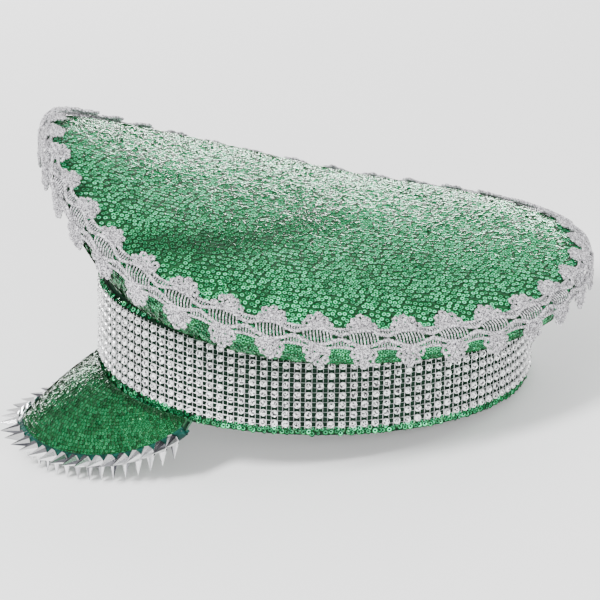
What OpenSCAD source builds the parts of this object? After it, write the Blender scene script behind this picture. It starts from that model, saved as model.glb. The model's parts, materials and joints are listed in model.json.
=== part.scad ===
// Peaked festival cap: sequin cloth crown with a lace rim, a net of faceted
// studs round the band, and a sequin visor edged with two rows of spikes.
// Every piece is drawn with the hem level and the visor towards -Y, and the
// whole cap is then tipped back onto its lower spikes and the rear of its hem.

/* [Head opening] */
// Half length of the head opening, front to back
head_half_length = 100; // [94:0.5:106]
// Half width of the head opening, side to side
head_half_width = 81.5; // [77:0.5:87]

/* [Band] */
// Height of the stiff band above the hem
band_height = 52; // [48:1:56]
// Thickness of the sweatband
sweatband_thickness = 1.2; // [0.8:0.1:1.6]
// Height of the sweatband
sweatband_height = 32; // [26:1:38]
// Thickness of the stiff strip inside the band
core_thickness = 1.6; // [1:0.1:2]
// Thickness of the sequin cloth round the band
cover_thickness = 2.3; // [1.8:0.1:2.8]
// Thickness of the stud net
net_thickness = 2.5; // [2:0.1:3]
// Height of the stud net, which is eight rows of studs
net_height = 40; // [38:1:41]
// Bare sequin cloth left showing below the stud net
hem_reveal = 3.5; // [3:0.5:5]
// How much higher the stud net sits over the visor
net_front_lift = 4.8; // [3:0.2:5]

/* [Rim of the crown] */
// Mean radius of the rim
rim_radius = 125; // [120:1:130]
// How far the rim sits forward of the band
rim_forward = 5; // [2:0.5:8]
// How much longer than wide the rim is, divided by four
rim_length_extra = 8.5; // [4:0.5:10]
// Mean height of the rim above the hem
rim_height = 76.5; // [74:0.5:82]
// How much higher the front of the rim stands than its rear, halved
rim_front_rise = 27; // [20:1:30]
// How far the sides of the rim dip below its front and rear, halved
rim_saddle = 15.5; // [10:0.5:18]
// How far the crown puffs up inside the rim
crown_puff = 8; // [4:0.5:10]
// Thickness of the crown cloth
cloth_thickness = 1.6; // [1.2:0.1:2]
// Reach of the lace on each side of the rim
lace_reach = 17; // [14:0.5:19]
// Thickness of the lace
lace_thickness = 1.8; // [1.2:0.1:2.4]
// Diameter of the wire hoop inside the rim
hoop_d = 2.4; // [2:0.1:3]
// Width of the stay that props the front of the rim
stay_width = 14; // [10:1:20]

/* [Visor] */
// Reach of the visor at its middle, along its slope
visor_reach = 54; // [50:1:58]
// Angle from the front at which the visor ends
visor_half_angle = 54.5; // [52:0.5:58]
// Slope of the visor at its middle
visor_slope = 37.5; // [35:0.5:40]
// How much steeper the visor gets towards its ends
visor_side_slope = 23; // [18:1:25]
// How far the visor bows up between the band and its edge
visor_bow = 2.5; // [1:0.5:4]
// Thickness of the visor board
board_thickness = 1.6; // [1.2:0.1:2]
// Thickness of the sequin cloth on the visor
visor_cloth_thickness = 1.2; // [0.8:0.1:1.4]
// Thickness of the cloth under the visor
under_thickness = 0.8; // [0.6:0.1:1.2]

/* [Spikes] */
// Distance between spikes along the edge
spike_pitch = 7.1; // [6.6:0.1:8.4]
// Diameter of a spike at its base
spike_d = 6; // [5:0.1:6.2]
// Length of an upper spike
upper_spike_length = 9.5; // [7:0.5:12]
// Length of a lower spike
lower_spike_length = 9; // [7:0.5:11]

/* [Hidden] */

gap = 0.2;             // clearance between neighbouring layers
oval_steps = 96;       // sides of an oval ring
rim_steps = 72;        // stations round the rim
crown_rows = 8;        // rows between the middle of the crown and its rim
quarter_steps = 16;    // stations across one quarter
profile_steps = 6;     // rows up a side panel
visor_steps = 40;      // stations across the visor
visor_rows = 5;        // rows along the visor's slope

// Offsets of the band's layers outwards from the head opening
core_in = sweatband_thickness + gap;
core_out = core_in + core_thickness;
cover_in = core_out + gap;
cover_out = cover_in + cover_thickness;
net_in = cover_out + gap;
net_out = net_in + net_thickness;
hem_tape_height = 3;
sweatband_start = 1;
cover_top = band_height - 3;
net_lift_spread = 65;      // angle from the front at which the net stops rising

// Drops of the crown's layers below its outer face
interlining_in = cloth_thickness + gap;
interlining_out = interlining_in + 1.5;
top_lining_in = interlining_out + gap;
top_lining_out = top_lining_in + 0.8;
buckram_in = cloth_thickness + gap;
buckram_out = buckram_in + 1;
stay_in = buckram_out + gap;
stay_out = stay_in + 1.2;
side_lining_in = stay_out + gap;
side_lining_out = side_lining_in + 0.8;
inner_layers_top = 0.86;   // share of the side panel's height that its inner layers reach

// Finer shape of the rim, as harmonics of the angle round it
rim_front_square = -5;
rim_corner_square = -2;
rim_peak = 3.2;
rim_flat = 1.5;
puff_power = 9;            // how close to the rim the crown's puff rolls over

// Levels across the visor, downwards from the top of its cloth
visor_root_z = 2.6;
board_top = visor_cloth_thickness;
board_bottom = board_top + board_thickness;
visor_bottom = board_bottom + under_thickness;
visor_forward_pull = 0.85; // how far the visor's reach turns from square-to-band to straight ahead
visor_taper = 1.15;        // how soon the visor narrows away from its middle; 1 is an ellipse
dip_power = 1.4;           // how soon the visor steepens away from its middle
visor_end = 76;            // last station of the visor's layers, in degrees of its ellipse
binding_end = 78;          // last station of the binding
binding_wall = 0.9;
bead_r = visor_bottom / 2 + binding_wall;
binding_lap = 5.2;         // how far the binding laps onto the visor

function lerp(a, b, t) = a + (b - a) * t;
function unit(v) = v / norm(v);

// Horizontal directions at an angle from the front: outwards, and round the cap
function outward(a) = [sin(a), -cos(a), 0];
function along(a) = [cos(a), sin(a), 0];

// A point of the band, offset outwards from the head opening
function oval(a, offset, z = 0) =
    [(head_half_width + offset) * sin(a), -(head_half_length + offset) * cos(a), z];

function rim_r(a) = rim_radius + rim_forward * cos(a) + rim_length_extra * cos(2 * a)
    + rim_front_square * cos(3 * a) + rim_corner_square * cos(4 * a);

// Height of the crown at a share p of the way out to the rim
function crown_z(p, a) = rim_height + rim_front_rise * p * cos(a)
    + rim_saddle * pow(p, 2) * cos(2 * a) + rim_peak * pow(p, 3) * cos(3 * a)
    + rim_flat * pow(p, 4) * cos(4 * a) + crown_puff * (1 - pow(p, puff_power));

function crown_point(p, a, drop = 0) =
    p * rim_r(a) * outward(a) + [0, 0, crown_z(p, a) - drop];
function rim_point(a) = crown_point(1, a);

// Lower edge of the stud net at an angle from -180 to 180
function net_bottom(a) = hem_reveal
    + net_front_lift * pow(cos(90 * min(1, abs(a) / net_lift_spread)), 1.2);

// Side panel: a curve from the top of the band out and up to the rim, drawn
// with a handle at each end. Where the rim is low it first sags past the band
// and hides the top of the net, and at the front it stands.
low_rise = 10;             // rise of a panel that only sags
high_rise = 70;            // rise of a panel that only stands
band_sag = 15;             // fall of a sagging panel's handle at the band
rim_sag = 17;              // fall of its handle at the rim
stand_share = 0.33;        // share of its rise that a standing panel's handle takes at the band
hang_share = 0.3;          // and at the rim
function panel_rise(a) = crown_z(1, a) - band_height;
function panel_stand(a) = min(1, max(0, (panel_rise(a) - low_rise) / (high_rise - low_rise)));
function panel_ends(a) = [oval(a, cover_in, band_height + gap), rim_point(a)];
function panel_handles(a) =
    let (e = panel_ends(a), k = panel_stand(a), reach = e[1] - e[0], rise = reach.z)
    [
        e[0] + lerp(0.7, 0.4, k) * [reach.x, reach.y, 0]
            + [0, 0, lerp(-band_sag, stand_share * rise, k)],
        e[1] + outward(a) - [0, 0, lerp(rim_sag, hang_share * rise, k)]
    ];
function panel_curve(a, u) =
    let (e = panel_ends(a), h = panel_handles(a), w = 1 - u)
    pow(w, 3) * e[0] + 3 * pow(w, 2) * u * h[0] + 3 * w * pow(u, 2) * h[1] + pow(u, 3) * e[1];
function panel_tangent(a, u) =
    let (e = panel_ends(a), h = panel_handles(a), w = 1 - u)
    unit(pow(w, 2) * (h[0] - e[0]) + 2 * w * u * (h[1] - h[0]) + pow(u, 2) * (e[1] - h[1]));
function panel_point(a, u, inset = 0) =
    panel_curve(a, u) - inset * unit(cross(along(a), panel_tangent(a, u)));

// Path of the lace, from s = -1 on the crown, over the rim, to s = 1 where it
// hangs straight down a little way outside the side panels
function edge_path(a, s) = s < 0
    ? crown_point(1 + s * lace_reach / rim_r(a), a)
    : rim_point(a) + lace_stand * min(1, s / edge_probe) * outward(a) - [0, 0, s * lace_reach];
edge_probe = 0.12;
lace_stand = 2;
function edge_normal(a, s) =
    unit(cross(edge_path(a, s + edge_probe) - edge_path(a, s - edge_probe), along(a)));
function lace_point(a, s, lift) = edge_path(a, s) + lift * edge_normal(a, s);
lace_stops = [-1, -0.7, -0.4, -0.12, 0.12, 0.4, 0.7, 1];

// Visor: a surface that leaves the band and slopes down and forwards, its
// reach following about half an ellipse from one end to the other. Its ends
// stand off as far as the stud net, and it bows up as far as its binding.
function visor_angle(k) = visor_half_angle * sin(k);
function visor_heading(k) = let (a = visor_angle(k))
    unit(lerp(unit([sin(a) / head_half_width, -cos(a) / head_half_length, 0]), [0, -1, 0],
        visor_forward_pull));
function visor_dip(k) = visor_slope + visor_side_slope * pow(abs(sin(k)), dip_power);
function visor_out(k) = cos(visor_dip(k)) * visor_heading(k) - [0, 0, sin(visor_dip(k))];
function visor_up(k) = sin(visor_dip(k)) * visor_heading(k) + [0, 0, cos(visor_dip(k))];
function visor_width(k) = visor_reach * pow(cos(k), visor_taper);
function visor_root(k, drop = 0) =
    oval(visor_angle(k), lerp(net_in, net_out, pow(sin(k), 2)), visor_root_z)
    - [0, 0, drop / cos(visor_dip(k))];
function visor_rise(k, reach) = let (bowed = visor_width(k) - binding_lap)
    visor_bow * bowed / visor_reach * sin(180 * min(1, reach / bowed));
function visor_point(k, reach, drop = 0) = reach <= 0 ? visor_root(k, drop)
    : visor_root(k) + reach * visor_out(k) + (visor_rise(k, reach) - drop) * visor_up(k);
function bead_centre(k) = visor_point(k, visor_width(k) - bead_r, visor_bottom / 2);

// Stations of the spikes, evenly spaced along the binding's bead
bead_steps = 82;
bead_stops = [for (i = [-bead_steps : bead_steps]) i * binding_end / bead_steps];
function bead_lengths(i = 0, so_far = [0]) = i >= len(bead_stops) - 1 ? so_far
    : bead_lengths(i + 1, concat(so_far,
        [so_far[i] + norm(bead_centre(bead_stops[i + 1]) - bead_centre(bead_stops[i]))]));
bead_table = [for (i = [0 : len(bead_stops) - 1]) [bead_lengths()[i], bead_stops[i]]];
bead_length = bead_table[len(bead_table) - 1][0];
spike_half_count = floor((bead_length - spike_d) / 2 / spike_pitch);
spike_stops = [for (i = [-spike_half_count : spike_half_count])
    lookup(bead_length / 2 + i * spike_pitch, bead_table)];
spike_seat = bead_r - 0.5;   // distance from the middle of the bead to a spike's base
spike_forward_pull = 0.1;
function spike_heading(k) = let (run = bead_centre(k + 1) - bead_centre(k - 1))
    unit(lerp(unit([run.y, -run.x, 0]), [0, -1, 0], spike_forward_pull));
function lower_tip(k) = bead_centre(k) - [0, 0, spike_seat + lower_spike_length];
function upper_tip(k) = bead_centre(k) + (spike_seat + upper_spike_length) * spike_heading(k);

// Resting pose: the lower spikes and the rear of the hem stand on z = 0, and
// the cap's box is centred on the origin
rear_hem_y = head_half_length + cover_out;
rest_tilt = max([for (k = spike_stops)
    let (tip = lower_tip(k)) atan2(-tip.z, rear_hem_y - tip.y)]);
function rested_y(p) = p.y * cos(rest_tilt) + p.z * sin(rest_tilt);
front_y = min([for (k = spike_stops) rested_y(upper_tip(k))]);
rear_y = max([for (s = lace_stops) rested_y(lace_point(180, s, lace_thickness))]);

module rest_pose() {
    translate([0, -(front_y + rear_y) / 2, rear_hem_y * sin(rest_tilt)])
        rotate([-rest_tilt, 0, 0])
            children();
}

// Solid through a row of loops that have the same number of points, either
// capped at both ends or closed into a ring. A layer's loop runs out along one
// face and back along the other, so its caps are ladders between the two.
module loop_solid(loops, closed = false, layer = false) {
    n = len(loops);
    m = len(loops[0]);
    last = closed ? n - 1 : n - 2;
    sides = [for (i = [0 : last], j = [0 : m - 1], half = [0, 1])
        let (i1 = (i + 1) % n, j1 = (j + 1) % m)
        half == 0 ? [i * m + j, i1 * m + j, i1 * m + j1] : [i * m + j, i1 * m + j1, i * m + j1]];
    ladder = [for (j = [0 : m / 2 - 2], half = [0, 1])
        half == 0 ? [j, j + 1, m - 2 - j] : [j, m - 2 - j, m - 1 - j]];
    start = layer ? ladder : [[for (j = [0 : m - 1]) j]];
    end = [for (face = start) [for (j = [len(face) - 1 : -1 : 0]) (n - 1) * m + face[j]]];
    polyhedron(points = [for (loop = loops, p = loop) p],
        faces = closed ? sides : concat(start, end, sides), convexity = 6);
}

module oval_ring(inner, outer, bottom, top) {
    translate([0, 0, bottom])
        linear_extrude(top - bottom)
            difference() {
                polygon([for (i = [0 : oval_steps - 1])
                    let (p = oval(i * 360 / oval_steps, outer)) [p.x, p.y]]);
                polygon([for (i = [0 : oval_steps - 1])
                    let (p = oval(i * 360 / oval_steps, inner)) [p.x, p.y]]);
            }
}

// A dished sheet that follows the crown, stopping short of the rim
module crown_sheet(drop_in, drop_out, margin) {
    shares = [for (i = [1 : crown_rows]) pow(i / crown_rows, 0.8)];
    function ring(share, drop) = [for (i = [0 : rim_steps - 1])
        let (a = i * 360 / rim_steps) crown_point(share * (1 - margin / rim_r(a)), a, drop)];
    middle = 0.03;
    loop_solid(concat(
        [ring(middle, drop_out)],
        [for (share = shares) ring(share, drop_out)],
        [for (i = [crown_rows - 1 : -1 : 0]) ring(shares[i], drop_in)],
        [ring(middle, drop_in)]));
}

// One section across a side panel layer
function panel_section(a, inset_in, inset_out, u_from, u_to) = concat(
    [for (i = [0 : profile_steps]) panel_point(a, lerp(u_from, u_to, i / profile_steps), inset_out)],
    [for (i = [profile_steps : -1 : 0])
        panel_point(a, lerp(u_from, u_to, i / profile_steps), inset_in)]);

module panel_sheet(inset_in, inset_out, from, to, u_from, u_to, steps) {
    loop_solid(layer = true, [for (i = [0 : steps])
        panel_section(lerp(from, to, i / steps), inset_in, inset_out, u_from, u_to)]);
}

module quarter(from) {
    seam_half = 0.15;
    panel_sheet(0, cloth_thickness, from + seam_half, from + 90 - seam_half, 0, 1, quarter_steps);
}

// One layer of the visor between two drops below its top
module visor_layer(drop_top, drop_bottom) {
    loop_solid(layer = true, [for (i = [-visor_steps / 2 : visor_steps / 2])
        let (k = i * visor_end / (visor_steps / 2),
            bowed = visor_width(k) - binding_lap,
            reaches = concat([for (j = [0 : visor_rows]) bowed * j / visor_rows],
                [visor_width(k) - bead_r - gap]))
        concat(
            [for (reach = reaches) visor_point(k, reach, drop_top)],
            [for (j = [len(reaches) - 1 : -1 : 0]) visor_point(k, reaches[j], drop_bottom)])]);
}

module spike(base, direction, length) {
    turn = [0, acos(direction.z), atan2(direction.y, direction.x)];
    tip_d = 0.6;
    translate(base)
        rotate(turn)
            cylinder(d1 = spike_d, d2 = tip_d, h = length, $fn = 24);
}

module sweatband() {
    color("silver")
        oval_ring(0, sweatband_thickness, sweatband_start, sweatband_start + sweatband_height);
}

module band_core() {
    color("whitesmoke")
        oval_ring(core_in, core_out, hem_tape_height + gap, band_height);
}

module hem_tape() {
    color("darkslategray")
        oval_ring(core_in, core_out, 0, hem_tape_height);
}

module band_cover() {
    color("seagreen")
        oval_ring(cover_in, cover_out, 0, cover_top);
}

module stud_net() {
    color("lightgray")
        loop_solid(closed = true, [for (i = [0 : oval_steps - 1])
            let (a = i * 360 / oval_steps - 180,
                bottom = net_bottom(a),
                top = bottom + net_height)
            [oval(a, net_in, bottom), oval(a, net_in, top),
                oval(a, net_out, top), oval(a, net_out, bottom)]]);
}

module crown_top() {
    color("mediumseagreen")
        crown_sheet(0, cloth_thickness, cloth_thickness + gap);
}

module quarter_front_right() {
    color("seagreen")
        quarter(-90);
}

module quarter_front_left() {
    color("seagreen")
        quarter(0);
}

module quarter_rear_left() {
    color("seagreen")
        quarter(90);
}

module quarter_rear_right() {
    color("seagreen")
        quarter(180);
}

module top_interlining() {
    color("gainsboro")
        crown_sheet(interlining_in, interlining_out, 8);
}

module front_buckram() {
    spread = 50;
    color("beige")
        panel_sheet(buckram_in, buckram_out, -spread, spread, 0.06, inner_layers_top, quarter_steps);
}

module front_stay() {
    spread = asin(stay_width / 2 / rim_radius);
    color("white")
        panel_sheet(stay_in, stay_out, -spread, spread, 0.08, inner_layers_top, 4);
}

module rim_hoop() {
    sides = 8;
    inboard = cloth_thickness + 2 * gap + hoop_d / 2;
    below = cloth_thickness + hoop_d / 2;
    color("dimgray")
        loop_solid(closed = true, [for (i = [0 : rim_steps - 1])
            let (a = i * 360 / rim_steps,
                centre = rim_point(a) - inboard * outward(a) - [0, 0, below])
            [for (j = [0 : sides - 1]) let (q = j * 360 / sides)
                centre + hoop_d / 2 * (cos(q) * outward(a) - sin(q) * [0, 0, 1])]]);
}

module lining_top() {
    color("darkgreen")
        crown_sheet(top_lining_in, top_lining_out, 7);
}

module lining_side() {
    color("darkgreen")
        loop_solid(closed = true, [for (i = [0 : rim_steps - 1])
            panel_section(i * 360 / rim_steps, side_lining_in, side_lining_out, 0.1,
                inner_layers_top)]);
}

module rim_lace() {
    color("lavender")
        loop_solid(closed = true, [for (i = [0 : rim_steps - 1]) let (a = i * 360 / rim_steps)
            concat(
                [for (s = lace_stops) lace_point(a, s, lace_thickness)],
                [for (j = [len(lace_stops) - 1 : -1 : 0]) lace_point(a, lace_stops[j], gap)])]);
}

module visor_board() {
    color("whitesmoke")
        visor_layer(board_top, board_bottom);
}

module visor_top_cloth() {
    color("green")
        visor_layer(0, visor_cloth_thickness);
}

module visor_under_cloth() {
    color("darkgreen")
        visor_layer(board_bottom, visor_bottom);
}

// Soft edging folded over the visor's edge, with a slot for the visor's layers
module visor_binding() {
    slot = visor_bottom / 2 + gap / 2;
    outer = concat([[-binding_lap, bead_r]],
        [for (q = [90 : -30 : -90]) [bead_r * cos(q) - bead_r, bead_r * sin(q)]],
        [[-binding_lap, -bead_r]]);
    inner = concat([[-binding_lap, -slot]],
        [for (q = [-90 : 30 : 90]) [-bead_r, slot * sin(q)]],
        [[-binding_lap, slot]]);
    outline = concat(outer, inner);
    color("darkslategray")
        loop_solid(layer = true, [for (i = [-visor_steps / 2 : visor_steps / 2])
            let (k = i * binding_end / (visor_steps / 2),
                edge = visor_point(k, visor_width(k), visor_bottom / 2))
            [for (p = outline) edge + p.x * visor_out(k) + p.y * visor_up(k)]]);
}

module upper_spikes() {
    color("silver")
        for (k = spike_stops)
            spike(bead_centre(k) + spike_seat * spike_heading(k), spike_heading(k),
                upper_spike_length);
}

module lower_spikes() {
    color("silver")
        for (k = spike_stops)
            spike(bead_centre(k) - [0, 0, spike_seat], [0, 0, -1], lower_spike_length);
}

rest_pose() {
    sweatband();
    band_core();
    hem_tape();
    band_cover();
    stud_net();
    crown_top();
    quarter_front_left();
    quarter_front_right();
    quarter_rear_left();
    quarter_rear_right();
    top_interlining();
    front_buckram();
    front_stay();
    rim_hoop();
    lining_top();
    lining_side();
    rim_lace();
    visor_board();
    visor_top_cloth();
    visor_under_cloth();
    visor_binding();
    upper_spikes();
    lower_spikes();
}
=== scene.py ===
"""Looks for a peaked festival cap in green sequin cloth.

The cap's shape is repeated here from its CAD source as smooth surfaces, in
millimetres and with the hem level. Every piece is built in that cap frame and
then moved into the resting pose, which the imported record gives.
"""
import json
import math
import bpy
import numpy as np
from mathutils import Matrix, Vector


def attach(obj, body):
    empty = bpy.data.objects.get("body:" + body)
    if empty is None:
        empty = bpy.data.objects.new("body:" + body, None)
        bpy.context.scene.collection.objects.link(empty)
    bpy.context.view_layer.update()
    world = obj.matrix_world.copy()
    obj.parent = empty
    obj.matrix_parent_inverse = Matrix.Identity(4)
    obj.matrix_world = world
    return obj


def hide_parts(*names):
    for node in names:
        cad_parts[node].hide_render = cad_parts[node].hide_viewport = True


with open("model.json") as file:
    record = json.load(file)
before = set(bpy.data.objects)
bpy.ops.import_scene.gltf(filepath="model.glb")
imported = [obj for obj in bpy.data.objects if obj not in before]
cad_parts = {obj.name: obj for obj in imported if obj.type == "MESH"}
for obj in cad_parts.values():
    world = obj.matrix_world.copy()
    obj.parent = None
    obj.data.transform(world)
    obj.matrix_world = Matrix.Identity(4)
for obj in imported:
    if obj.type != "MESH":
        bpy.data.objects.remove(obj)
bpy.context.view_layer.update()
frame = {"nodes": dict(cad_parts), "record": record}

MM = 0.001
RNG = np.random.default_rng(7)

# --- Sizes shared with the CAD source (mm) ---
HEAD_HALF_LENGTH = 100.0
HEAD_HALF_WIDTH = 81.5
BAND_HEIGHT = 52.0
SWEATBAND_THICKNESS = 1.2
SWEATBAND_TOP = 33.0
COVER_IN = 3.2
COVER_OUT = 5.5
COVER_TOP = 49.0
NET_IN = 5.7
NET_OUT = 8.2
NET_HEIGHT = 40.0
HEM_REVEAL = 3.5
NET_FRONT_LIFT = 4.8
NET_LIFT_SPREAD = math.radians(65)
RIM_RADIUS = (125.0, 5.0, 8.5, -5.0, -2.0)  # mean and cosine harmonics
RIM_HEIGHT = (76.5, 27.0, 15.5, 3.2, 1.5)
CROWN_PUFF = 8.0
PUFF_POWER = 9
CLOTH = 1.6
LOW_RISE, HIGH_RISE = 10.0, 70.0
BAND_SAG, RIM_SAG = 15.0, 17.0
STAND_SHARE, HANG_SHARE = 0.33, 0.3
PANEL_GAP = 0.2  # from the top of the band to the side panels
LOW_HANDLE, HANDLE_CUT = 0.7, 0.3  # reach of the panel's lower handle, and less where it stands
VISOR_REACH = 54.0
VISOR_HALF_ANGLE = 54.5
VISOR_SLOPE = 37.5
VISOR_SIDE_SLOPE = 23.0
VISOR_DIP_POWER = 1.4
VISOR_BOW = 2.5
VISOR_TAPER = 1.15
VISOR_ROOT_Z = 2.6
VISOR_PULL = 0.85
VISOR_DEPTH = 3.6
VISOR_END = math.radians(76)
BINDING_END = math.radians(78)
BINDING_LAP = 5.2
BEAD_R = 2.7
SPIKE_PITCH = 7.1
SPIKE_SEAT = 2.2
SPIKE_BASE_R = 3.0
SPIKE_PULL = 0.1
UPPER_SPIKE = 9.5
LOWER_SPIKE = 9.0

record = frame["record"]
opening = next(m for m in record["mounts"] if m["name"] == "head_opening")
tilt = math.atan2(-opening["axis"][1], -opening["axis"][2])
POSE = Matrix.Translation(opening["pos_m"]) @ Matrix.Rotation(-tilt, 4, "X")


UP = np.array([0.0, 0.0, 1.0])


# --- Shape of the cap ---
def stack(x, y, z):
    """Points from their coordinates, which may be arrays or numbers."""
    x, y, z = np.broadcast_arrays(x, y, z)
    return np.stack([x, y, z], axis=-1).astype(float)


def unit(v):
    """Vectors scaled to length 1."""
    return v / np.maximum(np.linalg.norm(v, axis=-1, keepdims=True), 1e-12)


def square_to(v, n):
    """Directions of the parts of v that are square to n."""
    return unit(v - n * (v * n).sum(-1, keepdims=True))


def circle(count):
    """Angles that divide a circle evenly."""
    return np.linspace(0, 2 * math.pi, count, endpoint=False)


def running_length(points):
    """Length of a path up to each of its points."""
    return np.concatenate([[0], np.cumsum(np.linalg.norm(np.diff(points, axis=0), axis=-1))])


def outward(a):
    """Level direction away from the cap's middle; angle 0 is the front."""
    return stack(np.sin(a), -np.cos(a), 0.0)


def along(a):
    """Level direction in which the angle grows."""
    return stack(np.cos(a), np.sin(a), 0.0)


def oval(a, offset, z=0.0):
    """A point of the band, a distance outside the head opening."""
    return stack((HEAD_HALF_WIDTH + offset) * np.sin(a), -(HEAD_HALF_LENGTH + offset) * np.cos(a), z)


def harmonics(terms, a, p=1.0):
    """Sum of cosine terms; all but the first fade towards the middle, where p is 0."""
    return sum(t * p**i * np.cos(i * a) for i, t in enumerate(terms))


def rim_r(a):
    """Distance of the rim from the cap's middle, in plan."""
    return harmonics(RIM_RADIUS, a)


def crown_z(p, a):
    """Height of the crown: the saddle of its rim, puffed up in the middle."""
    return harmonics(RIM_HEIGHT, a, p) + CROWN_PUFF * (1 - p**PUFF_POWER)


def crown_point(p, a, drop=0.0):
    """A point of the crown at a share p of the way out to the rim."""
    plan = np.expand_dims(p * rim_r(a), -1) * outward(a)
    return plan + stack(0.0, 0.0, crown_z(p, a) - drop)


def crown_at(x, y, drop=0.0):
    """The crown above a place in plan."""
    a = np.arctan2(x, -y)
    return crown_point(np.hypot(x, y) / rim_r(a), a, drop)


def panel_parts(a):
    """The four control points of a side panel's curve."""
    start = oval(a, COVER_IN, BAND_HEIGHT + PANEL_GAP)
    end = crown_point(1.0, a)
    reach = end - start
    rise = reach[..., 2]
    stand = np.clip((rise + PANEL_GAP - LOW_RISE) / (HIGH_RISE - LOW_RISE), 0, 1)
    flat = reach * [1, 1, 0]
    first = start + np.expand_dims(LOW_HANDLE - HANDLE_CUT * stand, -1) * flat
    first = first + stack(0.0, 0.0, stand * (STAND_SHARE * rise + BAND_SAG) - BAND_SAG)
    second = end + outward(a) + stack(0.0, 0.0, stand * (RIM_SAG - HANG_SHARE * rise) - RIM_SAG)
    return start, first, second, end


def panel_point(a, u, inset=0.0):
    """A point of the side panel, from u = 0 on the band to u = 1 on the rim, moved in by an inset."""
    a, u = np.broadcast_arrays(np.asarray(a, float), np.asarray(u, float))
    p0, p1, p2, p3 = panel_parts(a)
    t = np.expand_dims(u, -1)
    w = 1 - t
    point = w**3 * p0 + 3 * w * w * t * p1 + 3 * w * t * t * p2 + t**3 * p3
    slope = unit(w * w * (p1 - p0) + 2 * w * t * (p2 - p1) + t * t * (p3 - p2))
    return point - np.expand_dims(np.asarray(inset, float), -1) * unit(np.cross(along(a), slope))


def panel_length(a):
    """Length of the side panel's curve from the band to the rim."""
    steps = np.linspace(0, 1, 9)
    points = np.stack([panel_point(a, u) for u in steps])
    return np.linalg.norm(np.diff(points, axis=0), axis=-1).sum(axis=0)


def visor_angle(k):
    """Angle round the band of a visor station k, which is 0 at the front."""
    return math.radians(VISOR_HALF_ANGLE) * np.sin(k)


def visor_heading(k):
    """Level direction in which the visor leaves the band, pulled towards the front."""
    a = visor_angle(k)
    square = unit(stack(np.sin(a) / HEAD_HALF_WIDTH, -np.cos(a) / HEAD_HALF_LENGTH, 0.0))
    return unit((1 - VISOR_PULL) * square + VISOR_PULL * np.array([0.0, -1.0, 0.0]))


def visor_dip(k):
    """Slope of the visor below level, steeper at its sides."""
    return np.radians(VISOR_SLOPE + VISOR_SIDE_SLOPE * np.abs(np.sin(k)) ** VISOR_DIP_POWER)


def visor_out(k):
    """Direction down the visor, from the band to its edge."""
    dip = np.expand_dims(visor_dip(k), -1)
    return np.cos(dip) * visor_heading(k) - np.sin(dip) * UP


def visor_up(k):
    """Direction square to the visor's upper face."""
    dip = np.expand_dims(visor_dip(k), -1)
    return np.sin(dip) * visor_heading(k) + np.cos(dip) * UP


def visor_width(k):
    """Reach of the visor from the band to its outer edge."""
    return VISOR_REACH * np.cos(k) ** VISOR_TAPER


def visor_point(k, reach, drop=0.0):
    """A point of the visor at a reach from the band, below the top of its cloth."""
    k, reach = np.broadcast_arrays(np.asarray(k, float), np.asarray(reach, float))
    root = oval(visor_angle(k), NET_IN + (NET_OUT - NET_IN) * np.sin(k) ** 2, VISOR_ROOT_Z)
    bowed = visor_width(k) - BINDING_LAP
    rise = VISOR_BOW * bowed / VISOR_REACH * np.sin(math.pi * np.clip(reach / bowed, 0, 1))
    lift = np.expand_dims(rise - drop, -1)
    return root + np.expand_dims(reach, -1) * visor_out(k) + lift * visor_up(k)


def bead_centre(k):
    """Middle of the round braid on the visor's edge."""
    return visor_point(k, visor_width(k) - BEAD_R, VISOR_DEPTH / 2)


def bead_run(k):
    """Way along the braid, measured over a short stretch."""
    return bead_centre(k + 0.02) - bead_centre(k - 0.02)


def spike_heading(k):
    """Level direction of an upper spike, square to the braid and pulled towards the front."""
    run = bead_run(k)
    side = unit(stack(run[..., 1], -run[..., 0], 0.0))
    return unit((1 - SPIKE_PULL) * side + SPIKE_PULL * np.array([0.0, -1.0, 0.0]))


# --- Mesh helpers ---
def make_mesh(name, points, faces, material, smooth=True, values=None):
    """A mesh piece from cap-frame points in mm, in the resting pose and riding on the cap."""
    points = np.asarray(points, float).reshape(-1, 3)
    mesh = bpy.data.meshes.new(name)
    mesh.from_pydata((points * MM).tolist(), [], [tuple(int(i) for i in f) for f in faces])
    mesh.transform(POSE)
    mesh.polygons.foreach_set("use_smooth", [smooth] * len(mesh.polygons))
    for key, value in (values or {}).items():
        layer = mesh.attributes.new(key, "FLOAT", "POINT")
        layer.data.foreach_set("value", np.asarray(value, np.float32).ravel())
    mesh.update()
    piece = bpy.data.objects.new(name, mesh)
    bpy.context.scene.collection.objects.link(piece)
    piece.data.materials.append(material)
    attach(piece, "root")
    return piece


def grid_faces(rows, columns, closed_rows=False, closed_columns=False, start=0, flip=False):
    """Quads of a grid of points stored row by row."""
    i = np.arange(rows if closed_rows else rows - 1)[:, None]
    j = np.arange(columns if closed_columns else columns - 1)[None, :]
    i1, j1 = (i + 1) % rows, (j + 1) % columns
    corners = [i * columns + j, i * columns + j1, i1 * columns + j1, i1 * columns + j]
    quads = np.stack([c.ravel() for c in corners], axis=1) + start
    return quads[:, ::-1] if flip else quads


class Batch:
    """Collects many small shapes into one mesh."""

    def __init__(self):
        self.points, self.faces, self.values, self.count = [], [], {}, 0

    def add(self, points, faces, **values):
        points = np.asarray(points, float).reshape(-1, 3)
        self.points.append(points)
        self.faces.extend((np.asarray(f) + self.count) for f in faces)
        for key, value in values.items():
            self.values.setdefault(key, []).append(np.broadcast_to(value, len(points)))
        self.count += len(points)

    def make(self, name, material, smooth=True):
        values = {key: np.concatenate(v) for key, v in self.values.items()}
        return make_mesh(name, np.concatenate(self.points), self.faces, material, smooth, values)


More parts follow.
